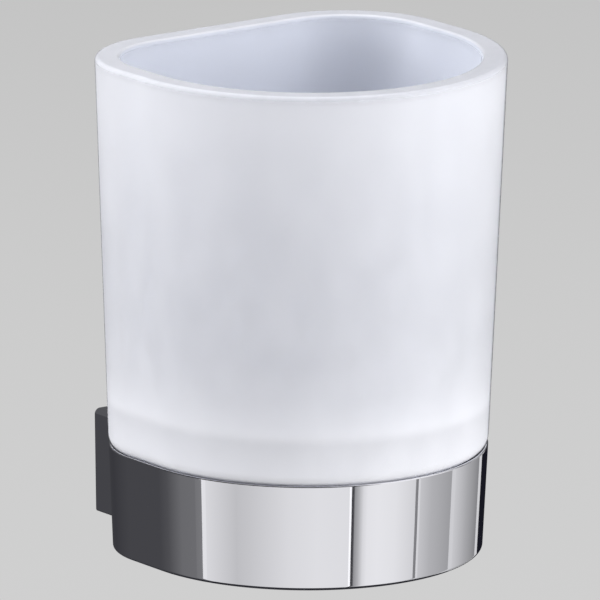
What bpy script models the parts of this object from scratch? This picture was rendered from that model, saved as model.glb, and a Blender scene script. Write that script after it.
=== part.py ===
"""A wall-mounted tumbler holder: a satin glass tumbler that stands in a chrome ring on a chrome wall block.

Seen from above, ring and tumbler share one outline: a flat back, two rounded back corners, short straight
sides and a half-round front. Every level of them is that outline, grown or shrunk by an offset.
The row frame has its origin on the wall, midway between the two wall screws. +Y points into the wall,
+Z up, and the half-round front faces -Y.
"""

from math import asin, cos, degrees, pi, radians, sin, sqrt, tan

import bmesh
import bpy
from mathutils import Matrix

# Outline of the ring at its lower edge
RING_WIDTH = 0.070
BACK_CORNER_RADIUS = 0.0175
STRAIGHT_SIDE = 0.0095

# Ring
RING_HEIGHT = 0.021
RING_DRAFT = radians(2.4)
RING_WALL = 0.0026
RING_EDGE = 0.00025
RING_LOWER_EDGE = 0.0008
RING_LAND = 0.00015
RING_MOUTH_CHAMFER = 0.0005
SEAT_DEPTH = 0.0098
LEDGE_WIDTH = 0.0035
LEDGE_THICKNESS = 0.0022

# Liner between ring and tumbler
LINER_WALL = 0.0012
LINER_FLOOR = 0.0012
LINER_FLANGE = 0.005
LINER_RIM_DROP = 0.0004
DRAIN_NOTCH_RADIUS = 0.0025
DRAIN_NOTCH_DEPTH = 0.0022
DRAIN_NOTCHES = 5

# Tumbler
BODY_HEIGHT = 0.07805
GLASS_DRAFT = radians(2.2)
GLASS_WALL = 0.005
GLASS_FLOOR = 0.00925
FLUSH_STEP = 0.0001
HEEL_RADIUS = 0.0030
RIM_OUTER_RADIUS = 0.0009
RIM_INNER_RADIUS = 0.0008
INNER_FILLET = 0.0020
FOOT_EDGE = 0.0008

# Wall block
WALL_DISTANCE = 0.0167
BLOCK_WIDTH = 0.0372
BLOCK_SIDE_DRAFT = radians(1.2)
BLOCK_TOP_CORNER = 0.0012
BLOCK_LOWER_CORNER = 0.0005
BLOCK_SIDE_WALL = 0.003
BLOCK_ROOF = 0.003
BLOCK_FLOOR = 0.0045
POCKET_DEPTH = 0.0105

# Concealed bracket
BRACKET_WEB = 0.003
BRACKET_CHAMFER = 0.0008

# Wall screws
WALL_SCREW_SPACING = 0.014
WALL_SCREW_DIAMETER = 0.0042
WALL_SCREW_LENGTH = 0.013
WALL_SCREW_POINT = 0.004
WALL_SCREW_HEAD = 0.008
WALL_SCREW_HEAD_HEIGHT = 0.003
CROSS_SLOT_LENGTH = 0.0044
CROSS_SLOT_WIDTH = 0.001
CROSS_SLOT_DEPTH = 0.0018

# Screws that hold the ring on the wall block
RING_SCREW_MARGIN = 0.0096
RING_SCREW_DIAMETER = 0.003
RING_SCREW_HEAD = 0.0056
RING_SCREW_HEAD_HEIGHT = 0.0014
RING_SCREW_BITE = 0.0045
RING_SCREW_HEX = 0.002
RING_SCREW_HEX_DEPTH = 0.001

# Grub screw that clamps the wall block on the bracket
GRUB_DIAMETER = 0.004
GRUB_RECESS = 0.0006
GRUB_POINT_CHAMFER = 0.0006
GRUB_HEX = 0.002
GRUB_HEX_DEPTH = 0.0018

# Clearances
SEAT_GAP = 0.0003
FOOT_GAP = 0.0003
JOINT_GAP = 0.0003
BRACKET_GAP = 0.0003
SCREW_GAP = 0.0003
BORE_END_GAP = 0.0006

# Fineness of the round stretches
FRONT_STEPS = 45
CORNER_STEPS = 12
EDGE_STEPS = 3
FILLET_STEPS = 6
TURN_STEPS = 24
CUT_MARGIN = 0.002

# Worked out from the sizes above
FRONT_RADIUS = RING_WIDTH / 2
FRONT_CENTRE_Y = -(BACK_CORNER_RADIUS + STRAIGHT_SIDE)
LEDGE_TOP = RING_HEIGHT - SEAT_DEPTH
LEDGE_OFFSET = -RING_WALL - LEDGE_WIDTH
LINER_OFFSET = -RING_WALL - SEAT_GAP
LINER_BOTTOM = LEDGE_TOP + SEAT_GAP
FOOT_OFFSET = LINER_OFFSET - LINER_WALL - FOOT_GAP
FOOT_BOTTOM = LINER_BOTTOM + LINER_FLOOR + FOOT_GAP
HEEL_OFFSET = RING_HEIGHT * tan(RING_DRAFT) + FLUSH_STEP - HEEL_RADIUS
BRIM_REACH = HEEL_RADIUS - FLUSH_STEP - RING_EDGE - RING_LAND
HEEL_CENTRE = RING_HEIGHT + sqrt((HEEL_RADIUS + SEAT_GAP) ** 2 - BRIM_REACH**2)
SHOULDER = HEEL_CENTRE - HEEL_RADIUS
LINER_TOP = SHOULDER - LINER_RIM_DROP
RING_SCREW_SPACING = BLOCK_WIDTH - 2 * RING_SCREW_MARGIN
BLOCK_FOOT_HALF = BLOCK_WIDTH / 2 - RING_HEIGHT * tan(BLOCK_SIDE_DRAFT)
POCKET_HALF = BLOCK_FOOT_HALF - BLOCK_SIDE_WALL
POCKET_HEIGHT = RING_HEIGHT - BLOCK_FLOOR - BLOCK_ROOF
POCKET_MIDDLE = BLOCK_FLOOR + POCKET_HEIGHT / 2
BRACKET_DEPTH = POCKET_DEPTH - BRACKET_GAP
RING_SCREW_Z = LEDGE_TOP + SEAT_DEPTH / 2


def clear_scene():
    for item in list(bpy.data.objects):
        bpy.data.objects.remove(item, do_unlink=True)


def finish_material(name, colour, metallic, roughness, transmission=0.0):
    """A Principled material with the piece's own colour and gloss."""
    made = bpy.data.materials.new(name)
    made.use_nodes = True
    shader = made.node_tree.nodes["Principled BSDF"]
    shader.inputs["Base Color"].default_value = (*colour, 1.0)
    shader.inputs["Metallic"].default_value = metallic
    shader.inputs["Roughness"].default_value = roughness
    shader.inputs["Transmission Weight"].default_value = transmission
    return made


def make_materials():
    return {
        "chrome": finish_material("chrome", (0.80, 0.81, 0.82), 1.0, 0.04),
        "satin_glass": finish_material("satin_glass", (0.90, 0.92, 0.95), 0.0, 0.55, 0.6),
        "liner_plastic": finish_material("liner_plastic", (0.85, 0.86, 0.86), 0.0, 0.45),
        "zinc_steel": finish_material("zinc_steel", (0.62, 0.63, 0.64), 1.0, 0.38),
        "stainless": finish_material("stainless", (0.55, 0.55, 0.56), 1.0, 0.30),
    }


def arc(centre_a, centre_b, radius, start, end, steps):
    """Points along an arc from one angle to another, both in degrees, ends included."""
    angles = [radians(start + (end - start) * i / steps) for i in range(steps + 1)]
    return [(centre_a + radius * cos(t), centre_b + radius * sin(t)) for t in angles]


def outline(offset):
    """The shared outline as seen from above, grown outward by an offset."""
    corner_x = FRONT_RADIUS - BACK_CORNER_RADIUS
    corner = BACK_CORNER_RADIUS + offset
    points = arc(0.0, FRONT_CENTRE_Y, FRONT_RADIUS + offset, 180, 360, FRONT_STEPS)
    points += arc(corner_x, -BACK_CORNER_RADIUS, corner, 0, 90, CORNER_STEPS)
    points += arc(-corner_x, -BACK_CORNER_RADIUS, corner, 90, 180, CORNER_STEPS)
    return points


def add_object(name, mesh, material, parent, location=(0.0, 0.0, 0.0)):
    made = bpy.data.objects.new(name, mesh)
    bpy.context.scene.collection.objects.link(made)
    made.parent = parent
    made.location = location
    if material:
        mesh.materials.append(material)
    return made


def mesh_from(name, bm):
    """Closes a bmesh into a mesh with outward faces, smooth except at its hard edges."""
    bmesh.ops.recalc_face_normals(bm, faces=bm.faces)
    mesh = bpy.data.meshes.new(name)
    bm.to_mesh(mesh)
    bm.free()
    mesh.shade_smooth()
    mesh.set_sharp_from_angle(angle=radians(32))
    return mesh


def skin(bm, loops, around):
    """Quads between each loop of vertices and the next, and from the last to the first if around."""
    pairs = list(zip(loops, loops[1:]))
    if around:
        pairs.append((loops[-1], loops[0]))
    for low, high in pairs:
        count = len(low)
        for i in range(count):
            j = (i + 1) % count
            bm.faces.new((low[i], low[j], high[j], high[i]))


def loft(name, loops, around):
    """A solid through loops of points; open ends are capped."""
    bm = bmesh.new()
    rings = [[bm.verts.new(point) for point in loop] for loop in loops]
    skin(bm, rings, around)
    if not around:
        bm.faces.new(rings[0])
        bm.faces.new(rings[-1])
    return mesh_from(name, bm)


def outline_loft(name, section, around):
    """The shared outline swept through a section of (offset, height) points."""
    loops = [[(x, y, z) for x, y in outline(offset)] for offset, z in section]
    return loft(name, loops, around)


def turned(name, section, steps=TURN_STEPS):
    """A section of (radius, distance) points turned about the Y axis."""
    bm = bmesh.new()
    verts = [bm.verts.new((radius, along, 0.0)) for radius, along in section]
    edges = [bm.edges.new(pair) for pair in zip(verts, verts[1:])]
    closed = min(radius for radius, _ in section) > 0.0
    if closed:
        edges.append(bm.edges.new((verts[-1], verts[0])))
    bmesh.ops.spin(bm, geom=verts + edges, cent=(0, 0, 0), axis=(0, 1, 0), angle=2 * pi, steps=steps)
    bmesh.ops.remove_doubles(bm, verts=bm.verts, dist=1e-6)
    return mesh_from(name, bm)


def cut(target, mesh, location=(0.0, 0.0, 0.0)):
    """Takes a cutter's shape out of a piece; the cutter is a hidden helper in the piece's own frame."""
    cutter = add_object(mesh.name, mesh, None, target, location)
    cutter.hide_render = True
    cutter.display_type = "WIRE"
    boolean = target.modifiers.new(mesh.name, "BOOLEAN")
    boolean.operation = "DIFFERENCE"
    boolean.solver = "EXACT"
    boolean.object = cutter


def box_mesh(name, low, high):
    """A box between two corners."""
    bm = bmesh.new()
    size = [b - a for a, b in zip(low, high)]
    middle = [(a + b) / 2 for a, b in zip(low, high)]
    bmesh.ops.create_cube(bm, size=1.0, matrix=Matrix.Translation(middle) @ Matrix.Diagonal((*size, 1.0)))
    return mesh_from(name, bm)


def bore_mesh(name, diameter, start, end, axis="Y", segments=TURN_STEPS):
    """A prism round one axis between two distances; the diameter is measured over its flats."""
    bm = bmesh.new()
    radius = diameter / 2 / cos(pi / segments)
    turn = Matrix.Rotation(-pi / 2, 4, "X") if axis == "Y" else Matrix.Identity(4)
    middle = Matrix.Translation((0.0, 0.0, (start + end) / 2))
    bmesh.ops.create_cone(
        bm, cap_ends=True, segments=segments, radius1=radius, radius2=radius, depth=end - start, matrix=turn @ middle
    )
    return mesh_from(name, bm)


def ring_section():
    """The ring's wall in section: drafted outside, hollowed round the heel, with a ledge that carries the liner."""
    lean = tan(RING_DRAFT)
    top = RING_HEIGHT
    mouth = RING_MOUTH_CHAMFER
    hollow = HEEL_RADIUS + SEAT_GAP
    brim = -degrees(asin((HEEL_CENTRE - top) / hollow))
    low = RING_LOWER_EDGE
    section = arc(-low, low, low, -90, 0, EDGE_STEPS + 1)
    section += arc(top * lean - RING_EDGE, top - RING_EDGE, RING_EDGE, 0, 90, EDGE_STEPS)
    section += arc(HEEL_OFFSET, HEEL_CENTRE, hollow, brim, -90, EDGE_STEPS)
    section += [(-RING_WALL + mouth, HEEL_CENTRE - hollow), (-RING_WALL, HEEL_CENTRE - hollow - mouth)]
    section += [(-RING_WALL, LEDGE_TOP), (LEDGE_OFFSET, LEDGE_TOP)]
    section += [(LEDGE_OFFSET, LEDGE_TOP - LEDGE_THICKNESS), (-RING_WALL, LEDGE_TOP - LEDGE_THICKNESS)]
    section += arc(-RING_WALL + RING_EDGE, RING_EDGE, RING_EDGE, 180, 270, EDGE_STEPS)
    return section


def liner_section():
    """The liner's angle section: an upright wall and a flange that lies on the ring's ledge."""
    inner = LINER_OFFSET - LINER_WALL
    floor_top = LINER_BOTTOM + LINER_FLOOR
    return [
        (LINER_OFFSET, LINER_BOTTOM),
        (LINER_OFFSET, LINER_TOP),
        (inner, LINER_TOP),
        (inner, floor_top),
        (inner - LINER_FLANGE, floor_top),
        (inner - LINER_FLANGE, LINER_BOTTOM),
    ]


def tumbler_section():
    """Half the tumbler in section: foot, shoulder, heel, wall, fire-polished rim, inner wall and floor."""
    lean = tan(GLASS_DRAFT)
    top = SHOULDER + BODY_HEIGHT
    floor = SHOULDER + GLASS_FLOOR

    def outside(z):
        return HEEL_OFFSET + HEEL_RADIUS + (z - HEEL_CENTRE) * lean

    def inside(z):
        return outside(z) - GLASS_WALL

    section = arc(FOOT_OFFSET - FOOT_EDGE, FOOT_BOTTOM + FOOT_EDGE, FOOT_EDGE, -90, 0, EDGE_STEPS)
    section += [(FOOT_OFFSET, SHOULDER)]
    section += arc(HEEL_OFFSET, HEEL_CENTRE, HEEL_RADIUS, -90, 0, FILLET_STEPS)
    outer_z = top - RIM_OUTER_RADIUS
    section += arc(outside(outer_z) - RIM_OUTER_RADIUS, outer_z, RIM_OUTER_RADIUS, 0, 90, FILLET_STEPS)
    inner_z = top - RIM_INNER_RADIUS
    section += arc(inside(inner_z) + RIM_INNER_RADIUS, inner_z, RIM_INNER_RADIUS, 90, 180, EDGE_STEPS + 1)
    fillet_z = floor + INNER_FILLET
    section += arc(inside(fillet_z) - INNER_FILLET, fillet_z, INNER_FILLET, 0, -90, FILLET_STEPS)
    return section


def make_ring(materials, holder):
    mesh = outline_loft("holder_ring", ring_section(), True)
    ring = add_object("holder_ring", mesh, materials["chrome"], holder)
    for side, x in (("left", -RING_SCREW_SPACING / 2), ("right", RING_SCREW_SPACING / 2)):
        cut(ring, turned("ring_hole_" + side, ring_hole_section()), (x, -RING_WALL, RING_SCREW_Z))
    return ring


def ring_hole_section():
    """A countersunk hole through the ring's back wall, from the inner wall outward."""
    wide = RING_SCREW_HEAD / 2 + SCREW_GAP
    narrow = RING_SCREW_DIAMETER / 2 + SCREW_GAP
    end = RING_WALL + RING_HEIGHT * tan(RING_DRAFT) + CUT_MARGIN
    return [
        (0.0, -CUT_MARGIN),
        (wide, -CUT_MARGIN),
        (wide, 0.0),
        (narrow, RING_SCREW_HEAD_HEIGHT + SCREW_GAP),
        (narrow, end),
        (0.0, end),
    ]


def make_liner(materials, holder):
    """The plastic liner, with half-round notches in its flange that let drips run out."""
    liner = add_object("liner", outline_loft("liner", liner_section(), True), materials["liner_plastic"], holder)
    edge = LINER_OFFSET - LINER_WALL - LINER_FLANGE
    reach = FRONT_RADIUS + edge + DRAIN_NOTCH_DEPTH - DRAIN_NOTCH_RADIUS
    for i in range(DRAIN_NOTCHES):
        angle = radians(180 + 180 * (i + 0.5) / DRAIN_NOTCHES)
        place = (reach * cos(angle), FRONT_CENTRE_Y + reach * sin(angle), 0.0)
        low, high = LINER_BOTTOM - CUT_MARGIN, LINER_BOTTOM + LINER_FLOOR + CUT_MARGIN
        cut(liner, bore_mesh(f"drain_notch_{i + 1}", 2 * DRAIN_NOTCH_RADIUS, low, high, "Z"), place)
    return liner


def make_tumbler(materials, holder):
    mesh = outline_loft("tumbler", tumbler_section(), False)
    return add_object("tumbler", mesh, materials["satin_glass"], holder)


def block_outline():
    """The wall block seen from the front: sides that lean out upward, small corner radii."""
    lean = tan(BLOCK_SIDE_DRAFT)
    top_half = BLOCK_WIDTH / 2
    low, high = BLOCK_LOWER_CORNER, BLOCK_TOP_CORNER
    low_x = BLOCK_FOOT_HALF + low * lean - low
    high_x = top_half - high * lean - high
    points = arc(low_x, low, low, -90, 0, EDGE_STEPS)
    points += arc(high_x, RING_HEIGHT - high, high, 0, 90, EDGE_STEPS)
    points += [(-x, z) for x, z in reversed(points)]
    return points


def make_block(materials, holder):
    """The hollow block between ring and wall: its front leans with the ring's back, its rear holds the bracket."""
    lean = tan(RING_DRAFT)
    rear = [(x, WALL_DISTANCE, z) for x, z in block_outline()]
    front = [(x, z * lean + JOINT_GAP, z) for x, z in block_outline()]
    block = add_object("wall_block", loft("wall_block", [rear, front], False), materials["chrome"], holder)
    low = (-POCKET_HALF, WALL_DISTANCE - POCKET_DEPTH, BLOCK_FLOOR)
    high = (POCKET_HALF, WALL_DISTANCE + CUT_MARGIN, BLOCK_FLOOR + POCKET_HEIGHT)
    cut(block, box_mesh("bracket_pocket", low, high))
    for side, x in (("left", -RING_SCREW_SPACING / 2), ("right", RING_SCREW_SPACING / 2)):
        end = ring_screw_tip() + BORE_END_GAP
        bore = bore_mesh("block_bore_" + side, RING_SCREW_DIAMETER + 2 * SCREW_GAP, -CUT_MARGIN, end)
        cut(block, bore, (x, 0.0, RING_SCREW_Z))
    grub_bore = bore_mesh("grub_bore", GRUB_DIAMETER + 2 * SCREW_GAP, -CUT_MARGIN, BLOCK_FLOOR + CUT_MARGIN / 2, "Z")
    cut(block, grub_bore, (0.0, WALL_DISTANCE - BRACKET_DEPTH / 2, 0.0))
    return block


def ring_screw_tip():
    """How far behind the ring's lower back edge the ring screws end."""
    return RING_SCREW_Z * tan(RING_DRAFT) + JOINT_GAP + RING_SCREW_BITE


def ring_screw_section():
    """A countersunk screw whose head lies just under the ring's inner wall, from head to tip."""
    length = RING_WALL + ring_screw_tip()
    shank = RING_SCREW_DIAMETER / 2
    return [
        (0.0, 0.0),
        (RING_SCREW_HEAD / 2, 0.0),
        (RING_SCREW_HEAD / 2, RING_SCREW_HEAD_HEIGHT / 6),
        (shank, RING_SCREW_HEAD_HEIGHT),
        (shank, length - shank / 3),
        (shank * 2 / 3, length),
        (0.0, length),
    ]


def make_ring_screws(materials, holder):
    for side, x in (("left", -RING_SCREW_SPACING / 2), ("right", RING_SCREW_SPACING / 2)):
        name = "ring_screw_" + side
        place = (x, -RING_WALL, RING_SCREW_Z)
        screw = add_object(name, turned(name, ring_screw_section()), materials["stainless"], holder, place)
        cut(screw, bore_mesh(name + "_hex", RING_SCREW_HEX, -CUT_MARGIN, RING_SCREW_HEX_DEPTH, "Y", 6))


def make_grub_screw(materials, holder):
    """The flat-point grub screw in the block's floor; its tip stops just under the bracket."""
    radius = GRUB_DIAMETER / 2
    length = BLOCK_FLOOR - GRUB_RECESS
    mesh = turned(
        "grub_screw",
        [
            (0.0, 0.0),
            (radius, 0.0),
            (radius, length - GRUB_POINT_CHAMFER),
            (radius - GRUB_POINT_CHAMFER, length),
            (0.0, length),
        ],
    )
    mesh.transform(Matrix.Rotation(pi / 2, 4, "X"))
    place = (0.0, WALL_DISTANCE - BRACKET_DEPTH / 2, GRUB_RECESS)
    screw = add_object("grub_screw", mesh, materials["stainless"], holder, place)
    cut(screw, bore_mesh("grub_hex", GRUB_HEX, -CUT_MARGIN, GRUB_HEX_DEPTH, "Z", 6))


def make_bracket(materials, wall):
    """The bracket that is screwed to the wall and fills the block's pocket."""
    half = POCKET_HALF - BRACKET_GAP
    rise = POCKET_HEIGHT / 2 - BRACKET_GAP

    def frame(inset, y):
        x, z = half - inset, rise - inset
        return [(-x, y, -z), (x, y, -z), (x, y, z), (-x, y, z)]

    loops = [frame(0.0, 0.0), frame(0.0, BRACKET_CHAMFER - BRACKET_DEPTH), frame(BRACKET_CHAMFER, -BRACKET_DEPTH)]
    bracket = add_object("wall_bracket", loft("wall_bracket", loops, False), materials["zinc_steel"], wall)
    for side, x in (("left", -WALL_SCREW_SPACING / 2), ("right", WALL_SCREW_SPACING / 2)):
        hole_size = WALL_SCREW_DIAMETER + 2 * SCREW_GAP
        hole = bore_mesh("wall_hole_" + side, hole_size, -BRACKET_DEPTH - CUT_MARGIN, CUT_MARGIN)
        cut(bracket, hole, (x, 0.0, 0.0))
        recess_size = WALL_SCREW_HEAD + 2 * SCREW_GAP
        recess = bore_mesh("head_recess_" + side, recess_size, -BRACKET_DEPTH - CUT_MARGIN, -BRACKET_WEB)
        cut(bracket, recess, (x, 0.0, 0.0))
    return bracket


def wall_screw_section():
    """A pan-head tapping screw from head to point; distance 0 is the underside of its head."""
    shank = WALL_SCREW_DIAMETER / 2
    head = WALL_SCREW_HEAD / 2
    rise = WALL_SCREW_HEAD_HEIGHT
    crown = [(head * sin(radians(a)), -rise * (0.35 + 0.65 * cos(radians(a)))) for a in (0, 25, 45, 65, 90)]
    shaft = [(head, 0.0), (shank, 0.0), (shank, WALL_SCREW_LENGTH - WALL_SCREW_POINT), (0.0, WALL_SCREW_LENGTH)]
    return crown + shaft


def make_wall_screws(materials, wall):
    slot, depth = CROSS_SLOT_LENGTH / 2, WALL_SCREW_HEAD_HEIGHT - CROSS_SLOT_DEPTH
    thin = CROSS_SLOT_WIDTH / 2
    for side, x in (("left", -WALL_SCREW_SPACING / 2), ("right", WALL_SCREW_SPACING / 2)):
        name = "bracket_screw_" + side
        place = (x, -BRACKET_WEB - SEAT_GAP, 0.0)
        screw = add_object(name, turned(name, wall_screw_section()), materials["stainless"], wall, place)
        end = -WALL_SCREW_HEAD_HEIGHT - CUT_MARGIN
        cut(screw, box_mesh(name + "_slot_flat", (-slot, end, -thin), (slot, -depth, thin)))
        cut(screw, box_mesh(name + "_slot_upright", (-thin, end, -slot), (thin, -depth, slot)))


def main():
    clear_scene()
    materials = make_materials()
    wall = add_object("wall_frame", None, None, None)
    holder = add_object("holder_frame", None, None, wall, (0.0, -WALL_DISTANCE, -POCKET_MIDDLE))
    make_bracket(materials, wall)
    make_wall_screws(materials, wall)
    make_block(materials, holder)
    make_ring(materials, holder)
    make_ring_screws(materials, holder)
    make_grub_screw(materials, holder)
    make_liner(materials, holder)
    make_tumbler(materials, holder)


main()
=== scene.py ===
"""Looks of the wall-mounted tumbler holder: satin glass, mirror chrome and the hidden fixing parts.

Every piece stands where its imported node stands. Ring and tumbler are swept round one outline,
which is read from the ring's box. Lengths are in metres; in the row's frame +Y points into the
wall and +Z up, and the half-round front faces -Y.
"""

from math import asin, ceil, cos, degrees, pi, radians, sin, tan

import bmesh
import bpy
from mathutils import Matrix, Vector


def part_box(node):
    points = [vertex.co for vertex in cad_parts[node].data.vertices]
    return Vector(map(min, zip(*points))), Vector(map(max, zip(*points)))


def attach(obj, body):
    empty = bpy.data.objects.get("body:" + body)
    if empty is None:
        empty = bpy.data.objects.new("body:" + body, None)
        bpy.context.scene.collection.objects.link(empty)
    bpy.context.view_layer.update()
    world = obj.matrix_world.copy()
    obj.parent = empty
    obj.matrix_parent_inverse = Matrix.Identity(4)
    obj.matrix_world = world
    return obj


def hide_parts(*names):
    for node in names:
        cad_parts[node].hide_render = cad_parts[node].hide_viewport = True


# Outline and sections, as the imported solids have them
RING_DRAFT = radians(2.4)
BACK_CORNER_RADIUS = 0.0175
RING_WALL = 0.0026
RING_EDGE = 0.00025
RING_LOWER_EDGE = 0.0008
RING_MOUTH_CHAMFER = 0.0005
SEAT_DEPTH = 0.0098
LEDGE_WIDTH = 0.0035
LEDGE_THICKNESS = 0.0022
LINER_WALL = 0.0012
LINER_FLOOR = 0.0012
LINER_FLANGE = 0.005
LINER_EDGE = 0.0003
LINER_RIM_DROP = 0.0004
DRAIN_NOTCH_RADIUS = 0.0025
DRAIN_NOTCH_DEPTH = 0.0022
DRAIN_NOTCHES = 5
GLASS_DRAFT = radians(2.2)
GLASS_WALL = 0.005
GLASS_FLOOR = 0.00925
FLUSH_STEP = 0.0001
HEEL_RADIUS = 0.0030
RIM_OUTER_RADIUS = 0.0009
RIM_INNER_RADIUS = 0.0008
RIM_SUPPORT = 0.0006
INNER_FILLET = 0.0020
FOOT_EDGE = 0.0008
SEAT_GAP = 0.0003

# Wall block and bracket
BLOCK_SIDE_DRAFT = radians(1.2)
BLOCK_TOP_CORNER = 0.0012
BLOCK_LOWER_CORNER = 0.0005
BLOCK_EDGE = 0.0003
BRACKET_CORNER = 0.0012
BRACKET_EDGE = 0.0008
BRACKET_WEB = 0.003
JOINT_GAP = 0.0003
SCREW_GAP = 0.0003
HOLE_EDGE = 0.0004
CUT_MARGIN = 0.002

# Screws: thread pitch and depth, heads and driver recesses
RING_SCREW_DIAMETER = 0.003
RING_SCREW_HEAD = 0.0056
RING_SCREW_HEAD_HEIGHT = 0.0014
RING_SCREW_HEAD_EDGE = 0.0002
RING_SCREW_HEX = 0.002
RING_SCREW_HEX_DEPTH = 0.001
RING_SCREW_PITCH = 0.0005
RING_SCREW_THREAD = 0.0003
GRUB_DIAMETER = 0.004
GRUB_POINT_CHAMFER = 0.0006
GRUB_END_CHAMFER = 0.0003
GRUB_HEX = 0.002
GRUB_HEX_DEPTH = 0.0018
GRUB_PITCH = 0.0007
GRUB_THREAD = 0.0004
WALL_SCREW_DIAMETER = 0.0042
WALL_SCREW_HEAD = 0.008
WALL_SCREW_HEAD_HEIGHT = 0.003
WALL_SCREW_HEAD_EDGE = 0.0002
WALL_SCREW_HEAD_FLANK = 0.35
WALL_SCREW_NECK = 0.0005
WALL_SCREW_POINT = 0.004
WALL_SCREW_TIP = 0.0001
WALL_SCREW_PITCH = 0.0014
WALL_SCREW_THREAD = 0.0006
CROSS_LENGTH = 0.0044
CROSS_WIDTH = 0.001
CROSS_DEPTH = 0.0018
# The cross recess: depth, and its length and width there as shares of those at its mouth
CROSS_SECTIONS = ((-CUT_MARGIN, 1.1, 1.3), (0.0, 1.0, 1.0), (CROSS_DEPTH, 0.5, 0.5))
# Shares of the radius: taper at a screw's end, and depth of the drilled point under a socket
SCREW_END_TAPER = 1 / 3
DRILL_POINT = 1 / 3
THREAD_STEEPNESS = 1.4

# Fineness of the round stretches
FRONT_STEPS = 180
CORNER_STEPS = 72
EDGE_STEPS = 6
FILLET_STEPS = 14
TURN_STEPS = 60
ROWS_PER_TURN = 10
HEAD_STEP = 9
SHARP_ANGLE = radians(35)
TINY = 1e-9

# The part of a noise's span that is spread over a range
NOISE_MIDDLE = (0.3, 0.7)

# Colours and roughness: one colour, or the two between which it varies
CHROME_COLOUR = (0.858, 0.857, 0.892)
CHROME_ROUGHNESS = (0.015, 0.04)
LINER_COLOURS = ((0.56, 0.57, 0.58), (0.62, 0.63, 0.64))
LINER_ROUGHNESS = (0.38, 0.50)
ZINC_COLOURS = ((0.56, 0.57, 0.60), (0.68, 0.67, 0.62))
ZINC_ROUGHNESS = (0.30, 0.46)
STAINLESS_COLOURS = ((0.50, 0.50, 0.51), (0.62, 0.61, 0.60))
STAINLESS_ROUGHNESS = (0.22, 0.38)
# Zinc and plain steel are less than full mirrors, so that they don't turn black from behind
STEEL_METALLIC = 0.75
# The etched glass: its roughness, and its colours outside and inside; the darker inside colour is
# painted shade
ETCH_ROUGHNESS = (0.30, 0.36)
GLASS_AND_PAINTED_SHADE_COLOURS = ((0.93, 0.943, 1.0), (0.83, 0.862, 0.95))
# The polished rim: depth below the top at which the polish starts and is full, and its roughness
RIM_POLISH = (0.0011, 0.0005, 0.14)
# Glancing views see the etched glass as smooth: from and to facing, and the roughness there
GLANCE = (0.86, 0.94, 0.06)
# Height above the ring and how clear the glass is there; the thick floor shows as a milky band
GLASS_CLEARNESS = (
    (0.0, 0.18),
    (0.004, 0.22),
    (0.0081, 0.29),
    (0.0099, 0.19),
    (0.0125, 0.25),
    (0.017, 0.325),
    (0.025, 0.38),
    (0.037, 0.38),
    (0.056, 0.325),
    (0.071, 0.26),
    (0.0750, 0.26),
    (0.0758, 0.32),
)
# How far the etching's clouds change the clearness
GLASS_CLOUDS = (0.91, 1.09)
# Name of the mark that tells the tumbler's inner wall, which gets the painted shade, from its outer
# one
PAINTED_SHADE_MARK = "painted_shade_inner_wall"

# Camera, fitted to the photograph's outlines
CAMERA_AZIMUTH = radians(-37.68)
CAMERA_ELEVATION = radians(13.94)
CAMERA_ROLL = radians(0.432)
CAMERA_DISTANCE = 2.1
CAMERA_TARGET = Vector((-0.0026, -0.0454, 0.0385))
FOCAL_LENGTH = 649.5
SENSOR_WIDTH = 36.0

# Studio
BACKGROUND_GREY = 0.604
WORLD_COLOUR = (0.605, 0.607, 0.63)
FLOOR_COLOUR = (0.92, 0.905, 0.86)
FLOOR_HEIGHT = -0.6
FLOOR_SIZE = 12.0
# The floor's grey as seen: from and to distance from the middle, grey at each
FLOOR_FADE = (1.9, 4.1, 0.632, 0.51)
CARD_CENTRE = (0.0, -0.0447)
CARD_RADIUS = 1.0
CARD_INNER_RADIUS = 0.75
CARD_HORIZON = 0.0
CARD_CEILING = 0.6
CARD_STEP = 3.0
CARD_LIFT = 0.002
CARD_COOLNESS = 0.006
PIT_GLOW = 0.03
PIT_STEP = 6
# Where the pit's floor and the cards' ceiling close, short of a single point
CARD_CORE = 0.01
# Cards: from and to in degrees from +X towards +Y, glow at each end below, and glow above
CARDS = (
    (21.5, 54.5, 0.010, 0.010, 0.10),
    (54.5, 90, 0.048, 0.045, 0.10),
    (90, 129, 0.046, 0.066, 0.10),
    (129, 137, 0.066, 0.087, 0.03),
    (137, 149, 0.087, 0.163, 0.03),
    (149, 160.4, 0.163, 0.173, 0.03),
    (160.4, 165.2, 0.195, 0.22, 0.03),
    (165.2, 168.2, 0.87, 0.86, 0.03),
    (168.2, 190, 0.79, 0.59, 0.03),
    (190, 198, 0.60, 0.64, 0.03),
    (198, 223, 0.64, 0.795, 0.03),
    (223, 241, 0.795, 0.845, 0.03),
    (241, 261, 0.845, 0.83, 0.03),
    (261, 262.3, 1.15, 1.15, 0.03),
    (262.3, 264.1, 0.03, 0.10, 0.03),
    (264.1, 267.5, 0.30, 0.52, 0.03),
    (267.5, 269.8, 0.54, 0.75, 0.03),
    (269.8, 272.6, 0.77, 0.87, 0.03),
    (272.6, 280, 0.88, 0.905, 0.2),
    (280, 292, 0.905, 0.87, 1.0),
    (292, 306.8, 0.87, 0.73, 1.0),
    (306.8, 308.9, 0.24, 0.24, 1.0),
    (308.9, 310.6, 0.80, 0.72, 1.0),
    (310.6, 320, 0.63, 0.50, 1.0),
    (320, 338.8, 0.50, 0.38, 1.0),
    (338.8, 342.8, 0.70, 0.70, 0.6),
    (342.8, 358, 0.66, 0.44, 0.2),
    (358, 376, 0.44, 0.25, 0.42),
    (376, 381.5, 0.70, 0.70, 0.42),
)
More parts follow.
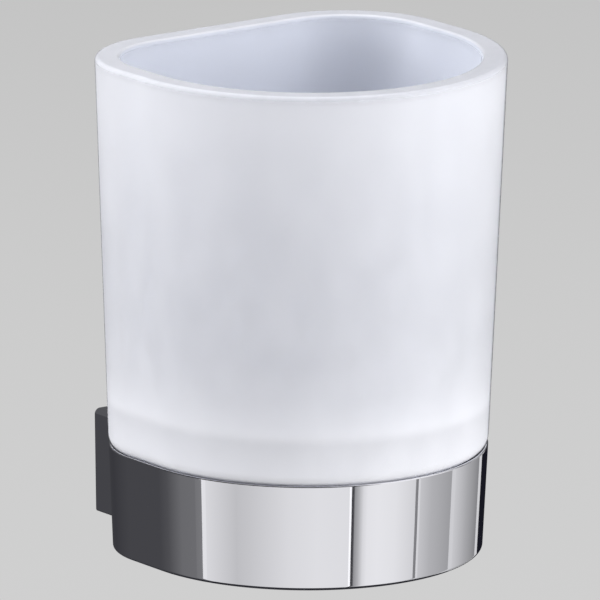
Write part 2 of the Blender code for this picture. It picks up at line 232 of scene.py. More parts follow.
# Softboxes: name, place, the point they face, size and power
LAMPS = (
    ("left_softbox", (-0.41, 0.255, 0.35), (0, -0.045, 0.05), (0.45, 0.45), 2.8),
    ("top_softbox", (0.0, 0.55, 1.07), (0, -0.045, 0.03), (0.5, 0.5), 4.6),
    ("right_softbox", (0.68, -1.21, 0.5), (0, -0.045, 0.03), (1.0, 1.0), 14.2),
)


def arc(centre_a, centre_b, radius, start, end, steps):
    """Points along an arc from one angle to another, both in degrees, ends included."""
    angles = [radians(start + (end - start) * i / steps) for i in range(steps + 1)]
    return [(centre_a + radius * cos(t), centre_b + radius * sin(t)) for t in angles]


class Plan:
    """The shared outline and the heights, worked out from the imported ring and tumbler."""

    def __init__(self):
        low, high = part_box("holder_ring")
        tumbler_low, tumbler_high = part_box("tumbler")
        liner_low, liner_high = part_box("liner")
        self.base = low.z
        self.top = high.z
        self.height = high.z - low.z
        self.lean = tan(RING_DRAFT)
        self.front_radius = (high.x - low.x) / 2 - self.height * self.lean
        self.centre_y = low.y + (high.x - low.x) / 2
        self.back = high.y - self.height * self.lean
        self.corner_y = self.back - BACK_CORNER_RADIUS
        self.shoulder = liner_high.z + LINER_RIM_DROP
        self.heel_centre = self.shoulder + HEEL_RADIUS
        self.heel_offset = self.height * self.lean + FLUSH_STEP - HEEL_RADIUS
        self.rim = tumbler_high.z
        self.foot = tumbler_low.z
        self.liner_bottom = liner_low.z
        self.liner_top = liner_high.z
        self.ledge = self.top - SEAT_DEPTH

    def outline(self, offset):
        """Points of the outline seen from above, grown outward by an offset."""
        corner_x = self.front_radius - BACK_CORNER_RADIUS
        corner = BACK_CORNER_RADIUS + offset
        points = arc(0.0, self.centre_y, self.front_radius + offset, 180, 360, FRONT_STEPS)
        points += arc(corner_x, self.corner_y, corner, 0, 90, CORNER_STEPS)
        points += arc(-corner_x, self.corner_y, corner, 90, 180, CORNER_STEPS)
        return points


def middle_of(node):
    """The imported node's box: its middle and its lowest and highest corners."""
    low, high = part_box(node)
    return (low + high) / 2, low, high


def mesh_from(name, bm):
    """Closes a bmesh into a mesh with outward faces, smooth except at its hard edges."""
    bmesh.ops.recalc_face_normals(bm, faces=bm.faces)
    mesh = bpy.data.meshes.new(name)
    bm.to_mesh(mesh)
    bm.free()
    mesh.shade_smooth()
    mesh.set_sharp_from_angle(angle=SHARP_ANGLE)
    return mesh


def new_object(name, data):
    """A new object in the scene, for a mesh, a lamp or a camera."""
    made = bpy.data.objects.new(name, data)
    bpy.context.scene.collection.objects.link(made)
    return made


def add_object(mesh, material=None):
    """Puts a mesh into the scene under its own name, with its material."""
    made = new_object(mesh.name, mesh)
    if material:
        mesh.materials.append(material)
    return made


def loft(name, loops, around=False):
    """A solid through closed loops of points, capped at its ends or closed round to the first."""
    bm = bmesh.new()
    rings = [[bm.verts.new(point) for point in loop] for loop in loops]
    pairs = list(zip(rings, rings[1:]))
    if around:
        pairs.append((rings[-1], rings[0]))
    count = len(rings[0])
    for low, high in pairs:
        for i in range(count):
            j = (i + 1) % count
            bm.faces.new((low[i], low[j], high[j], high[i]))
    if not around:
        bm.faces.new(rings[0])
        bm.faces.new(rings[-1])
    return mesh_from(name, bm)


def sweep(name, plan, section, around=False):
    """The outline swept through a section of (offset, height) points."""
    loops = [[(x, y, z) for x, y in plan.outline(offset)] for offset, z in section]
    return loft(name, loops, around)


def rectangle(x, y, half_height, middle_z=0.0):
    """Corners of an upright rectangle that faces along Y, from -x to x."""
    low, high = middle_z - half_height, middle_z + half_height
    return [(-x, y, low), (x, y, low), (x, y, high), (-x, y, high)]


def turned(name, section, steps=TURN_STEPS, thread=None):
    """A section of (radius, distance) points turned about +Y.

    A thread (pitch, depth, start, end) is cut into the section between its start and its end.
    """
    rows = section
    if thread:
        pitch, depth, start, end = thread
        widest = max(radius for radius, along in section if start <= along <= end)
        rows = []
        for (radius_a, along_a), (radius_b, along_b) in zip(section, section[1:]):
            count = 1
            if start <= along_a < along_b <= end + TINY:
                count = max(1, ceil((along_b - along_a) / pitch * ROWS_PER_TURN))
            for i in range(count):
                share = i / count
                radius = radius_a + (radius_b - radius_a) * share
                rows.append((radius, along_a + (along_b - along_a) * share))
        rows.append(section[-1])

    def groove(radius, along, turn):
        if not thread or not start <= along <= end:
            return 0.0
        ramp = min(1.0, (along - start) / pitch, (end - along) / pitch)
        phase = (along / pitch - turn) % 1.0
        flank = min(1.0, THREAD_STEEPNESS * (1.0 - abs(2.0 * phase - 1.0)))
        return depth * ramp * flank * radius / widest

    bm = bmesh.new()
    rings = []
    for radius, along in rows:
        if radius == 0.0:
            rings.append([bm.verts.new((0.0, along, 0.0))] * steps)
            continue
        ring = []
        for i in range(steps):
            angle = 2 * pi * i / steps
            reach = radius - groove(radius, along, i / steps)
            ring.append(bm.verts.new((reach * cos(angle), along, reach * sin(angle))))
        rings.append(ring)
    for low, high in zip(rings, rings[1:]):
        for i in range(steps):
            j = (i + 1) % steps
            corners = [low[i], low[j], high[j], high[i]]
            bm.faces.new(list(dict.fromkeys(corners)))
    return mesh_from(name, bm)


def socket_cutter(name, width, depth):
    """The space of a hexagon socket, by its width across the flats and its depth."""
    corner = width / 2 / cos(pi / 6)
    section = [(0.0, -CUT_MARGIN), (corner, -CUT_MARGIN), (corner, depth)]
    section.append((0.0, depth + corner * DRILL_POINT))
    return turned(name, section, 6)


def carve(piece, *cutters):
    """Takes the shapes of the cutting meshes out of a piece."""
    helpers = []
    for mesh in cutters:
        helper = add_object(mesh)
        helpers.append(helper)
        boolean = piece.modifiers.new(mesh.name, "BOOLEAN")
        boolean.operation = "DIFFERENCE"
        boolean.solver = "EXACT"
        boolean.object = helper
    bpy.context.view_layer.update()
    whole = piece.data
    carved = piece.evaluated_get(bpy.context.evaluated_depsgraph_get())
    piece.data = bpy.data.meshes.new_from_object(carved)
    piece.modifiers.clear()
    bpy.data.meshes.remove(whole)
    for helper in helpers:
        mesh = helper.data
        bpy.data.objects.remove(helper, do_unlink=True)
        bpy.data.meshes.remove(mesh)
    piece.data.shade_smooth()
    piece.data.set_sharp_from_angle(angle=SHARP_ANGLE)


def shifted(mesh, x, y, z, upright=False):
    """Moves a mesh to its place; upright turns its +Y axis to +Z first."""
    if upright:
        mesh.transform(Matrix.Rotation(pi / 2, 4, "X"))
    mesh.transform(Matrix.Translation((x, y, z)))
    return mesh


def soften_normals(piece):
    """Lets wide faces keep their own normals, so that reflections run straight up to an edge."""
    weighted = piece.modifiers.new("even_shading", "WEIGHTED_NORMAL")
    weighted.weight = 100
    weighted.keep_sharp = True


def stand_for(piece, body, slot, *nodes):
    """Rides with its body and hides the nodes it stands for; its slot is not used."""
    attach(piece, body)
    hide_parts(*nodes)


def new_material(name):
    """A material with its Principled shader and node tree."""
    made = bpy.data.materials.new(name)
    made.use_nodes = True
    return made, made.node_tree, made.node_tree.nodes["Principled BSDF"]


def noise(tree, scale, detail=2.0, stretch=(1.0, 1.0, 1.0)):
    """A noise in the object's own space, in cycles per metre."""
    where = tree.nodes.new("ShaderNodeTexCoord")
    mapping = tree.nodes.new("ShaderNodeMapping")
    mapping.inputs["Scale"].default_value = stretch
    texture = tree.nodes.new("ShaderNodeTexNoise")
    texture.inputs["Scale"].default_value = scale
    texture.inputs["Detail"].default_value = detail
    tree.links.new(where.outputs["Object"], mapping.inputs["Vector"])
    tree.links.new(mapping.outputs["Vector"], texture.inputs["Vector"])
    return texture.outputs["Fac"]


def ranged(tree, value, start, end, low=0.0, high=1.0, smooth=False):
    """Maps a value between start and end onto low to high; low may be another node's output."""
    node = tree.nodes.new("ShaderNodeMapRange")
    if smooth:
        node.interpolation_type = "SMOOTHSTEP"
    node.inputs["From Min"].default_value = start
    node.inputs["From Max"].default_value = end
    node.inputs["To Max"].default_value = high
    if isinstance(low, bpy.types.NodeSocket):
        tree.links.new(low, node.inputs["To Min"])
    else:
        node.inputs["To Min"].default_value = low
    tree.links.new(value, node.inputs["Value"])
    return node.outputs["Result"]


def spread(tree, value, low, high):
    """Maps the middle of a noise onto a range."""
    return ranged(tree, value, *NOISE_MIDDLE, low, high)


def bump(tree, shader, height, distance, strength=1.0):
    """Raises the surface by a height from 0 to 1 times a distance."""
    node = tree.nodes.new("ShaderNodeBump")
    node.inputs["Strength"].default_value = strength
    node.inputs["Distance"].default_value = distance
    tree.links.new(height, node.inputs["Height"])
    tree.links.new(node.outputs["Normal"], shader.inputs["Normal"])


def chrome_material():
    """Polished chrome plating: a mirror with the faintest haze and swell."""
    made, tree, shader = new_material("polished_chrome")
    shader.inputs["Base Color"].default_value = (*CHROME_COLOUR, 1.0)
    shader.inputs["Metallic"].default_value = 1.0
    haze = spread(tree, noise(tree, scale=160.0, detail=4.0), *CHROME_ROUGHNESS)
    tree.links.new(haze, shader.inputs["Roughness"])
    bump(tree, shader, noise(tree, scale=45.0), distance=0.00002)
    return made


def satin_glass_material(plan):
    """Acid-etched glass: rough and milky, with a fine grain; the polished rim keeps some gloss."""
    made, tree, shader = new_material("satin_glass")
    # The marked inner wall takes the darker colour: painted shade inside the cup
    inside = tree.nodes.new("ShaderNodeAttribute")
    inside.attribute_name = PAINTED_SHADE_MARK
    blend_colours(tree, shader, inside.outputs["Fac"], *GLASS_AND_PAINTED_SHADE_COLOURS)
    shader.inputs["IOR"].default_value = 1.5

    where = tree.nodes.new("ShaderNodeTexCoord")
    axes = tree.nodes.new("ShaderNodeSeparateXYZ")
    tree.links.new(where.outputs["Object"], axes.inputs["Vector"])
    rise = axes.outputs["Z"]
    etch = spread(tree, noise(tree, scale=700.0, detail=5.0), *ETCH_ROUGHNESS)
    start, full, polished = RIM_POLISH
    etch = ranged(tree, rise, plan.rim - start, plan.rim - full, etch, polished, smooth=True)
    glancing = tree.nodes.new("ShaderNodeLayerWeight")
    start, full, grazed = GLANCE
    etch = ranged(tree, glancing.outputs["Facing"], start, full, etch, grazed, smooth=True)
    tree.links.new(etch, shader.inputs["Roughness"])

    clearness = tree.nodes.new("ShaderNodeValToRGB")
    stops = clearness.color_ramp.elements
    while len(stops) < len(GLASS_CLEARNESS):
        stops.new(0.5)
    for stop, (height, clear) in zip(stops, GLASS_CLEARNESS):
        stop.position = height / (plan.rim - plan.top)
        stop.color = (clear, clear, clear, 1.0)
    tree.links.new(ranged(tree, rise, plan.top, plan.rim), clearness.inputs["Fac"])
    clouds = noise(tree, scale=180.0, detail=5.0, stretch=(1.0, 1.0, 0.6))
    clouded = tree.nodes.new("ShaderNodeMath")
    clouded.operation = "MULTIPLY"
    tree.links.new(clearness.outputs["Color"], clouded.inputs[0])
    tree.links.new(spread(tree, clouds, *GLASS_CLOUDS), clouded.inputs[1])
    tree.links.new(clouded.outputs["Value"], shader.inputs["Transmission Weight"])
    bump(tree, shader, noise(tree, scale=6000.0), distance=0.00001)
    return made


def blend_colours(tree, shader, factor, colour_a, colour_b):
    """Base colour between two tones, by a factor from 0 to 1."""
    ramp = tree.nodes.new("ShaderNodeValToRGB")
    ramp.color_ramp.elements[0].color = (*colour_a, 1.0)
    ramp.color_ramp.elements[1].color = (*colour_b, 1.0)
    tree.links.new(factor, ramp.inputs["Fac"])
    tree.links.new(ramp.outputs["Color"], shader.inputs["Base Color"])


def liner_material():
    """Soft moulded plastic, slightly clear, with a fine matt grain."""
    made, tree, shader = new_material("soft_plastic")
    shader.inputs["Transmission Weight"].default_value = 0.25
    shader.inputs["IOR"].default_value = 1.49
    cloud = spread(tree, noise(tree, scale=260.0, detail=3.0), 0.0, 1.0)
    blend_colours(tree, shader, cloud, *LINER_COLOURS)
    matt = spread(tree, noise(tree, scale=900.0, detail=3.0), *LINER_ROUGHNESS)
    tree.links.new(matt, shader.inputs["Roughness"])
    bump(tree, shader, noise(tree, scale=5000.0), distance=0.00001)
    return made


def zinc_material():
    """Zinc-plated steel: grey with a cool and a faintly straw tone, drawn lengthwise."""
    made, tree, shader = new_material("zinc_plating")
    shader.inputs["Metallic"].default_value = STEEL_METALLIC
    tone = spread(tree, noise(tree, scale=220.0, detail=4.0), 0.0, 1.0)
    blend_colours(tree, shader, tone, *ZINC_COLOURS)
    drawn = noise(tree, scale=1800.0, detail=3.0, stretch=(0.05, 1.0, 1.0))
    tree.links.new(spread(tree, drawn, *ZINC_ROUGHNESS), shader.inputs["Roughness"])
    bump(tree, shader, drawn, distance=0.00001, strength=0.6)
    return made


def stainless_material():
    """Plain stainless steel as the header and the thread roller leave it."""
    made, tree, shader = new_material("stainless_steel")
    shader.inputs["Metallic"].default_value = STEEL_METALLIC
    tone = spread(tree, noise(tree, scale=700.0, detail=3.0), 0.0, 1.0)
    blend_colours(tree, shader, tone, *STAINLESS_COLOURS)
    rolled = spread(tree, noise(tree, scale=2600.0, detail=4.0), *STAINLESS_ROUGHNESS)
    tree.links.new(rolled, shader.inputs["Roughness"])
    bump(tree, shader, noise(tree, scale=3200.0, detail=3.0), distance=0.000008, strength=0.6)
    return made


def ring_section(plan):
    """The ring's wall in section, as packed, hollowed round the heel, with finer edges."""
    base, top = plan.base, plan.top
    lower, edge, mouth = RING_LOWER_EDGE, RING_EDGE, RING_MOUTH_CHAMFER
    hollow = HEEL_RADIUS + SEAT_GAP
    brim = -degrees(asin((plan.heel_centre - top) / hollow))
    seat = plan.heel_centre - hollow
    shelf, under = -RING_WALL - LEDGE_WIDTH, plan.ledge - LEDGE_THICKNESS
    section = arc(-lower, base + lower, lower, -90, 0, 2 * EDGE_STEPS)
    section += arc(plan.height * plan.lean - edge, top - edge, edge, 0, 90, EDGE_STEPS)
    section += arc(plan.heel_offset, plan.heel_centre, hollow, brim, -90, FILLET_STEPS)
    section += [(-RING_WALL + mouth, seat), (-RING_WALL, seat - mouth)]
    section += [(-RING_WALL, plan.ledge), (shelf, plan.ledge), (shelf, under), (-RING_WALL, under)]
    section += arc(-RING_WALL + edge, base + edge, edge, 180, 270, EDGE_STEPS)
    return section


def tumbler_section(plan):
    """Half the tumbler in section: foot, shoulder, heel, wall, rim, inner wall and floor."""
    lean = tan(GLASS_DRAFT)
    foot_offset = -RING_WALL - SEAT_GAP - LINER_WALL - SEAT_GAP

    def outside(z):
        return plan.heel_offset + HEEL_RADIUS + (z - plan.heel_centre) * lean

    def inside(z):
        return outside(z) - GLASS_WALL

    section = arc(foot_offset - FOOT_EDGE, plan.foot + FOOT_EDGE, FOOT_EDGE, -90, 0, EDGE_STEPS)
    section += [(foot_offset, plan.shoulder)]
    section += arc(plan.heel_offset, plan.heel_centre, HEEL_RADIUS, -90, 0, FILLET_STEPS)
    radius, z = RIM_OUTER_RADIUS, plan.rim - RIM_OUTER_RADIUS
    section += [(outside(z - RIM_SUPPORT), z - RIM_SUPPORT)]
    section += arc(outside(z) - radius, z, radius, 0, 90, FILLET_STEPS)
    radius, z = RIM_INNER_RADIUS, plan.rim - RIM_INNER_RADIUS
    section += arc(inside(z) + radius, z, radius, 90, 180, FILLET_STEPS)
    section += [(inside(z - RIM_SUPPORT), z - RIM_SUPPORT)]
    radius, z = INNER_FILLET, plan.shoulder + GLASS_FLOOR + INNER_FILLET
    section += arc(inside(z) - radius, z, radius, 0, -90, FILLET_STEPS)
    return section


def make_tumbler(plan, material):
    """The glass, with its inner wall marked for the material's painted shade from half way round
    the rim on.
    """
    section = tumbler_section(plan)
    mesh = sweep("glass_tumbler", plan, section)
    around = len(mesh.vertices) // len(section)
    inner_start = len(section) - 3 * FILLET_STEPS // 2 - 2
    mark = mesh.attributes.new(PAINTED_SHADE_MARK, "FLOAT", "POINT")
    for i, item in enumerate(mark.data):
        item.value = 1.0 if i // around >= inner_start else 0.0
    piece = add_object(mesh, material)
    soften_normals(piece)
    stand_for(piece, "tumbler", "satin_glass", "tumbler")


def make_ring(plan, material):
    """The ring, with two countersunk holes in its back wall."""
    piece = add_object(sweep("chrome_ring", plan, ring_section(plan), around=True), material)
    wide = RING_SCREW_HEAD / 2 + SCREW_GAP
    narrow = RING_SCREW_DIAMETER / 2 + SCREW_GAP
    end = RING_WALL + plan.height * plan.lean + CUT_MARGIN
    hole = [(0.0, -CUT_MARGIN), (wide, -CUT_MARGIN), (wide, 0.0)]
    hole += [(narrow, wide - narrow), (narrow, end), (0.0, end)]
    cutters = []
    for node in ("ring_screw_left", "ring_screw_right"):
        middle, low, _ = middle_of(node)
        cutters.append(shifted(turned("hole_for_" + node, hole), middle.x, low.y, middle.z))
    carve(piece, *cutters)
    soften_normals(piece)
    stand_for(piece, "holder", "chrome", "holder_ring")


def make_liner(plan, material):
    """The soft liner: an upright wall, and a flange with half-round notches for drips."""
    outer = -RING_WALL - SEAT_GAP
    inner = outer - LINER_WALL
    lip = inner - LINER_FLANGE
    low, high = plan.liner_bottom, plan.liner_top
    floor = low + LINER_FLOOR
    edge = LINER_EDGE
    section = arc(outer - edge, low + edge, edge, -90, 0, EDGE_STEPS)
    section += arc(outer - edge, high - edge, edge, 0, 90, EDGE_STEPS)
    section += arc(inner + edge, high - edge, edge, 90, 180, EDGE_STEPS)
    section += arc(inner - edge, floor + edge, edge, 0, -90, EDGE_STEPS)
    section += arc(lip + edge, floor - edge, edge, 90, 180, EDGE_STEPS)
    section += arc(lip + edge, low + edge, edge, 180, 270, EDGE_STEPS)
    piece = add_object(sweep("soft_liner", plan, section, around=True), material)

    reach = plan.front_radius + lip + DRAIN_NOTCH_DEPTH - DRAIN_NOTCH_RADIUS
    radius, end = DRAIN_NOTCH_RADIUS, LINER_FLOOR + CUT_MARGIN
    bore = [(0.0, -CUT_MARGIN), (radius, -CUT_MARGIN), (radius, end), (0.0, end)]
    cutters = []
    for i in range(DRAIN_NOTCHES):
        angle = radians(180 + 180 * (i + 0.5) / DRAIN_NOTCHES)
        x, y = reach * cos(angle), plan.centre_y + reach * sin(angle)
        cutters.append(shifted(turned(f"drain_notch_{i + 1}", bore), x, y, low, upright=True))
    carve(piece, *cutters)
    stand_for(piece, "holder", "liner_plastic", "liner")


def block_outline(plan, inset):
    """The wall block from the front, shrunk by an inset: round corners, sides leaning outward."""
    lean = tan(BLOCK_SIDE_DRAFT)
    low, high = BLOCK_LOWER_CORNER, BLOCK_TOP_CORNER
    high_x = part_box("wall_block")[1].x - high
    low_x = high_x + high + (low + high - plan.height) * lean - low
    points = arc(low_x, low, low - inset, -90, 0, EDGE_STEPS)
    points += arc(high_x, plan.height - high, high - inset, 0, 90, FILLET_STEPS)
    points += [(-x, z) for x, z in reversed(points)]
    return points


def make_block(plan, material):
    """The chrome block between ring and wall, hollow at the rear, bored for its three screws."""
    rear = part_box("wall_block")[1].y
    edge = BLOCK_EDGE
    loops = []
    for i in range(EDGE_STEPS + 1):
        turn = pi / 2 * i / EDGE_STEPS
        inset, back = edge * (1 - sin(turn)), edge * (1 - cos(turn))
        front = plan.back + JOINT_GAP + back
        outline = block_outline(plan, inset)
        loops.append([(x, front + z * plan.lean, plan.base + z) for x, z in outline])
    for i in range(EDGE_STEPS + 1):
        turn = pi / 2 * i / EDGE_STEPS
        inset, back = edge * (1 - cos(turn)), edge * (1 - sin(turn))
        loops.append([(x, rear - back, plan.base + z) for x, z in block_outline(plan, inset)])
    piece = add_object(loft("chrome_wall_block", loops), material)

    middle, low, high = middle_of("wall_bracket")
    half, rise = high.x + JOINT_GAP, (high.z - low.z) / 2 + JOINT_GAP
    flare = edge + CUT_MARGIN
    steps = ((0.0, low.y - JOINT_GAP), (0.0, rear - edge), (flare, rear + CUT_MARGIN))
    pocket = [rectangle(half + grow, y, rise + grow, middle.z) for grow, y in steps]
    cutters = [loft("bracket_pocket", pocket)]
    radius = RING_SCREW_DIAMETER / 2 + SCREW_GAP
    for node in ("ring_screw_left", "ring_screw_right"):
        middle, low, high = middle_of(node)
        length = high.y - low.y
        bore = [(0.0, 0.0), (radius, 0.0), (radius, length), (0.0, length + 2 * SCREW_GAP)]
        cutters.append(shifted(turned("bore_for_" + node, bore), middle.x, low.y, middle.z))
    middle, low, high = middle_of("grub_screw")
    radius = GRUB_DIAMETER / 2 + SCREW_GAP
    wide = radius + HOLE_EDGE + CUT_MARGIN
    end = high.z - plan.base + CUT_MARGIN / 2
    bore = [(0.0, -CUT_MARGIN), (wide, -CUT_MARGIN), (radius, HOLE_EDGE), (radius, end), (0.0, end)]
    mesh = turned("bore_for_grub_screw", bore)
    cutters.append(shifted(mesh, middle.x, middle.y, plan.base, upright=True))
    carve(piece, *cutters)
    soften_normals(piece)
    stand_for(piece, "holder", "chrome", "wall_block")


def make_ring_screws(material):
    """Countersunk screws with a hexagon socket, from inside the ring into the wall block."""
    shank, head, edge = RING_SCREW_DIAMETER / 2, RING_SCREW_HEAD / 2, RING_SCREW_HEAD_EDGE
    taper = shank * SCREW_END_TAPER
    for side in ("left", "right"):
        middle, low, high = middle_of("ring_screw_" + side)
        length = high.y - low.y
        section = [(0.0, 0.0), (head - edge, 0.0), (head, edge), (shank, RING_SCREW_HEAD_HEIGHT)]
        section += [(shank, length - taper), (shank - taper, length), (0.0, length)]
        thread = (RING_SCREW_PITCH, RING_SCREW_THREAD, RING_SCREW_HEAD_HEIGHT, length)
        name = "socket_screw_" + side
        mesh = turned(name, section, thread=thread)
        piece = add_object(shifted(mesh, middle.x, low.y, middle.z), material)
        socket = socket_cutter(name + "_hexagon", RING_SCREW_HEX, RING_SCREW_HEX_DEPTH)
        carve(piece, shifted(socket, middle.x, low.y, middle.z))
        stand_for(piece, "holder", "stainless", "ring_screw_" + side)


def make_grub_screw(material):
    """The headless screw in the block's floor: hexagon socket below, flat point above."""
    middle, low, high = middle_of("grub_screw")
    length = high.z - low.z
    radius, chamfer = GRUB_DIAMETER / 2, GRUB_POINT_CHAMFER
    section = [(0.0, 0.0), (radius - GRUB_END_CHAMFER, 0.0), (radius, GRUB_END_CHAMFER)]
    section += [(radius, length - chamfer), (radius - chamfer, length), (0.0, length)]
    mesh = turned("threaded_grub", section, thread=(GRUB_PITCH, GRUB_THREAD, 0.0, length))
    piece = add_object(shifted(mesh, middle.x, middle.y, low.z, upright=True), material)
    socket = socket_cutter("grub_hexagon", GRUB_HEX, GRUB_HEX_DEPTH)
    carve(piece, shifted(socket, middle.x, middle.y, low.z, upright=True))
    stand_for(piece, "grub_screw", "stainless", "grub_screw")


def make_bracket(material):
    """The plated bracket on the wall, with through holes and recesses for its screws' heads."""
    middle, low, high = middle_of("wall_bracket")
    half, rise, depth = high.x, (high.z - low.z) / 2, high.y - low.y

    def frame(inset, y):
        x, z, radius = half - BRACKET_CORNER, rise - BRACKET_CORNER, BRACKET_CORNER - inset
        points = arc(x, -z, radius, -90, 0, EDGE_STEPS)
        points += arc(x, z, radius, 0, 90, EDGE_STEPS)
        points += arc(-x, z, radius, 90, 180, EDGE_STEPS)
        points += arc(-x, -z, radius, 180, 270, EDGE_STEPS)
        return [(a, high.y - y, middle.z + b) for a, b in points]

    loops = [frame(BLOCK_EDGE, 0.0), frame(0.0, BLOCK_EDGE)]
    for i in range(EDGE_STEPS + 1):
        turn = pi / 2 * i / EDGE_STEPS
        loops.append(frame(BRACKET_EDGE * (1 - cos(turn)), depth - BRACKET_EDGE * (1 - sin(turn))))
    piece = add_object(loft("plated_bracket", loops), material)

    narrow = WALL_SCREW_DIAMETER / 2 + SCREW_GAP
    wide = WALL_SCREW_HEAD / 2 + SCREW_GAP
    mouth = wide + HOLE_EDGE
    web, end = depth - BRACKET_WEB, depth + CUT_MARGIN
    section = [(0.0, -CUT_MARGIN), (mouth, -CUT_MARGIN), (mouth, 0.0), (wide, HOLE_EDGE)]
    section += [(wide, web), (narrow, web), (narrow, end), (0.0, end)]
    cutters = []
    for side in ("left", "right"):
        screw = middle_of("bracket_screw_" + side)[0]
        cutters.append(shifted(turned("recess_" + side, section), screw.x, low.y, screw.z))
    carve(piece, *cutters)
    stand_for(piece, "wall_side", "plated_steel", "wall_bracket")


def make_bracket_screws(material):
    """Pan-head tapping screws: a cross recess, and a coarse thread that runs out in the point."""
    shank, head, rise = WALL_SCREW_DIAMETER / 2, WALL_SCREW_HEAD / 2, WALL_SCREW_HEAD_HEIGHT
    edge, neck, flank = WALL_SCREW_HEAD_EDGE, WALL_SCREW_NECK, WALL_SCREW_HEAD_FLANK
    crown = []
    for angle in range(0, 91, HEAD_STEP):
        swell = flank + (1 - flank) * cos(radians(angle))
        crown.append((head * sin(radians(angle)), -rise * swell))
    for side in ("left", "right"):
        middle, low, high = middle_of("bracket_screw_" + side)
        length = high.y - low.y - rise
        tip = length - WALL_SCREW_TIP
        section = crown + [(head, -edge), (head - edge, 0.0), (shank, 0.0), (shank, neck)]
        section += [(shank, length - WALL_SCREW_POINT), (2 * WALL_SCREW_TIP, tip), (0.0, length)]
        name = "tapping_screw_" + side
        mesh = turned(name, section, thread=(WALL_SCREW_PITCH, WALL_SCREW_THREAD, neck, tip))
        piece = add_object(shifted(mesh, middle.x, low.y + rise, middle.z), material)
        cutters = []
        for arm in ("level", "upright"):
            loops = []
            for along, long, wide in CROSS_SECTIONS:
                x, z = CROSS_LENGTH / 2 * long, CROSS_WIDTH / 2 * wide
                loops.append(rectangle(x, along, z) if arm == "level" else rectangle(z, along, x))
            cross = loft(f"{name}_{arm}_cross", loops)
            cutters.append(shifted(cross, middle.x, low.y, middle.z))
        carve(piece, *cutters)
        stand_for(piece, "wall_side", "stainless", "bracket_screw_" + side)


def make_camera():
    """The photograph's view: a long lens from the left front, a little above."""
    data = bpy.data.cameras.new("photo_camera")
    data.lens = FOCAL_LENGTH
    data.sensor_width = SENSOR_WIDTH
    data.clip_start = 0.1
    data.clip_end = 100.0
    camera = new_object("photo_camera", data)
    across, along, level = cos(CAMERA_AZIMUTH), sin(CAMERA_AZIMUTH), cos(CAMERA_ELEVATION)
    back = Vector((along * level, -across * level, sin(CAMERA_ELEVATION)))
    right = Vector((across, along, 0.0))
    up = back.cross(right)
    axes = Matrix((right, up, back)).transposed()
    turn = (axes @ Matrix.Rotation(CAMERA_ROLL, 3, "Z")).to_4x4()
    camera.matrix_world = Matrix.Translation(CAMERA_TARGET + back * CAMERA_DISTANCE) @ turn
    bpy.context.scene.camera = camera


def seeing_ray(tree):
    """One for rays from camera, mirrors and glass, zero for the rays that gather light."""
    path = tree.nodes.new("ShaderNodeLightPath")
    sums = []
    for _ in range(2):
        either = tree.nodes.new("ShaderNodeMath")
        either.operation = "ADD"
        either.use_clamp = True
        sums.append(either)
    tree.links.new(path.outputs["Is Camera Ray"], sums[0].inputs[0])
    tree.links.new(path.outputs["Is Glossy Ray"], sums[0].inputs[1])
    tree.links.new(sums[0].outputs["Value"], sums[1].inputs[0])
    tree.links.new(path.outputs["Is Transmission Ray"], sums[1].inputs[1])
    return sums[1].outputs["Value"]


def make_world():
    """Even studio surroundings; the camera sees the photograph's plain grey."""
    world = bpy.data.worlds.new("studio")
    bpy.context.scene.world = world
    world.use_nodes = True
    tree = world.node_tree
    light = tree.nodes["Background"]
    light.inputs["Color"].default_value = (*WORLD_COLOUR, 1.0)
    seen = tree.nodes.new("ShaderNodeBackground")
    seen.inputs["Color"].default_value = (BACKGROUND_GREY, BACKGROUND_GREY, BACKGROUND_GREY, 1.0)
    mix = tree.nodes.new("ShaderNodeMixShader")
    tree.links.new(seeing_ray(tree), mix.inputs["Fac"])
    tree.links.new(light.outputs["Background"], mix.inputs[1])
    tree.links.new(seen.outputs["Background"], mix.inputs[2])
    tree.links.new(mix.outputs["Shader"], tree.nodes["World Output"].inputs["Surface"])


def make_floor():
    """A pale matt floor; seen from above it shows the backdrop's grey, from below it is clear."""
    bm = bmesh.new()
    bmesh.ops.create_grid(bm, x_segments=1, y_segments=1, size=FLOOR_SIZE / 2)
    bmesh.ops.translate(bm, verts=bm.verts, vec=(0.0, 0.0, FLOOR_HEIGHT))
    mesh = bpy.data.meshes.new("floor")
    bm.to_mesh(mesh)
    bm.free()
    made, tree, shader = new_material("pale_floor")
    shader.inputs["Base Color"].default_value = (*FLOOR_COLOUR, 1.0)
    shader.inputs["Roughness"].default_value = 0.9
    shader.inputs["Specular IOR Level"].default_value = 0.0
    where = tree.nodes.new("ShaderNodeNewGeometry")
    reach = tree.nodes.new("ShaderNodeVectorMath")
    reach.operation = "LENGTH"
    seen = tree.nodes.new("ShaderNodeEmission")
    shown = tree.nodes.new("ShaderNodeMixShader")
    clear = tree.nodes.new("ShaderNodeBsdfTransparent")
    one_sided = tree.nodes.new("ShaderNodeMixShader")
    tree.links.new(where.outputs["Position"], reach.inputs[0])
    grey = ranged(tree, reach.outputs["Value"], *FLOOR_FADE, smooth=True)
    tree.links.new(grey, seen.inputs["Strength"])
    tree.links.new(seeing_ray(tree), shown.inputs["Fac"])
    tree.links.new(shader.outputs["BSDF"], shown.inputs[1])
    tree.links.new(seen.outputs["Emission"], shown.inputs[2])
    tree.links.new(where.outputs["Backfacing"], one_sided.inputs["Fac"])
    tree.links.new(shown.outputs["Shader"], one_sided.inputs[1])
    tree.links.new(clear.outputs["BSDF"], one_sided.inputs[2])
    tree.links.new(one_sided.outputs["Shader"], tree.nodes["Material Output"].inputs["Surface"])
    add_object(mesh, made)


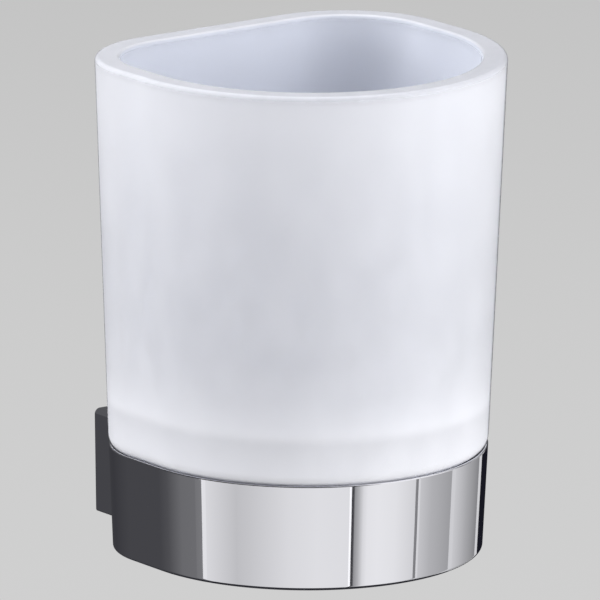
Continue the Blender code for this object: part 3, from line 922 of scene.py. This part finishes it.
def make_cards():
    """Light and dark cards in a circle, seen in reflections only: they draw the chrome's bands."""
    bm = bmesh.new()
    glow = bm.verts.layers.float_color.new("glow")

    def column(degrees_round, rungs, level):
        turn = radians(degrees_round)
        made = []
        for radius, height in rungs:
            x = CARD_CENTRE[0] + radius * cos(turn)
            y = CARD_CENTRE[1] + radius * sin(turn)
            vert = bm.verts.new((x, y, height))
            vert[glow] = (level, level, level + CARD_COOLNESS, 1.0)
            made.append(vert)
        return made

    def strip(columns):
        for left, right in zip(columns, columns[1:]):
            for i in range(len(left) - 1):
                bm.faces.new((left[i], left[i + 1], right[i + 1], right[i]))

    ground, inner, outer = FLOOR_HEIGHT + CARD_LIFT, CARD_INNER_RADIUS, CARD_RADIUS
    wall = ((inner, ground), (outer, ground), (outer, CARD_HORIZON))
    roof = ((outer, CARD_HORIZON), (outer, CARD_CEILING), (CARD_CORE, CARD_CEILING))
    pit = ((inner, ground), (CARD_CORE, ground))
    for start, end, first, last, above in CARDS:
        steps = max(1, ceil((end - start) / CARD_STEP))
        lower, upper = [], []
        for i in range(steps + 1):
            share = i / steps
            turn = start + (end - start) * share
            lower.append(column(turn, wall, first + (last - first) * share))
            upper.append(column(turn, roof, above))
        strip(lower)
        strip(upper)
    strip([column(turn, pit, PIT_GLOW) for turn in range(0, 361, PIT_STEP)])
    mesh = bpy.data.meshes.new("reflection_cards")
    bm.to_mesh(mesh)
    bm.free()
    made = bpy.data.materials.new("card_glow")
    made.use_nodes = True
    made.cycles.emission_sampling = "NONE"
    tree = made.node_tree
    tree.nodes.remove(tree.nodes["Principled BSDF"])
    colour = tree.nodes.new("ShaderNodeAttribute")
    colour.attribute_name = "glow"
    emission = tree.nodes.new("ShaderNodeEmission")
    tree.links.new(colour.outputs["Color"], emission.inputs["Color"])
    tree.links.new(emission.outputs["Emission"], tree.nodes["Material Output"].inputs["Surface"])
    cards = add_object(mesh, made)
    cards.visible_camera = False
    cards.visible_diffuse = False
    cards.visible_transmission = False
    cards.visible_shadow = False


def make_light(name, place, target, size, power):
    """A softbox that lights matt surfaces and the glass; no view or reflection shows it."""
    data = bpy.data.lights.new(name, "AREA")
    data.shape = "RECTANGLE"
    data.size, data.size_y = size
    data.energy = power
    lamp = new_object(name, data)
    lamp.location = place
    lamp.rotation_euler = (Vector(target) - Vector(place)).to_track_quat("-Z", "Y").to_euler()
    lamp.visible_camera = False
    lamp.visible_glossy = False
    lamp.visible_transmission = False


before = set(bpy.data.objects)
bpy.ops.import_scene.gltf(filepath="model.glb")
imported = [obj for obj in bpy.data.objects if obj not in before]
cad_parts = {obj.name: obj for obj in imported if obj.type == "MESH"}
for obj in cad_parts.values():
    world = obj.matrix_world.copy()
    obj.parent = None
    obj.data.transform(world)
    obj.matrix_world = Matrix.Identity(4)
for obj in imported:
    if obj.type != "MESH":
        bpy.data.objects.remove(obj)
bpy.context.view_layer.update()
bpy.context.scene.view_settings.view_transform = "Standard"
plan = Plan()
chrome = chrome_material()
make_tumbler(plan, satin_glass_material(plan))
make_ring(plan, chrome)
make_liner(plan, liner_material())
make_block(plan, chrome)
stainless = stainless_material()
make_ring_screws(stainless)
make_grub_screw(stainless)
make_bracket(zinc_material())
make_bracket_screws(stainless)
make_camera()
make_world()
make_floor()
make_cards()
for lamp in LAMPS:
    make_light(*lamp)
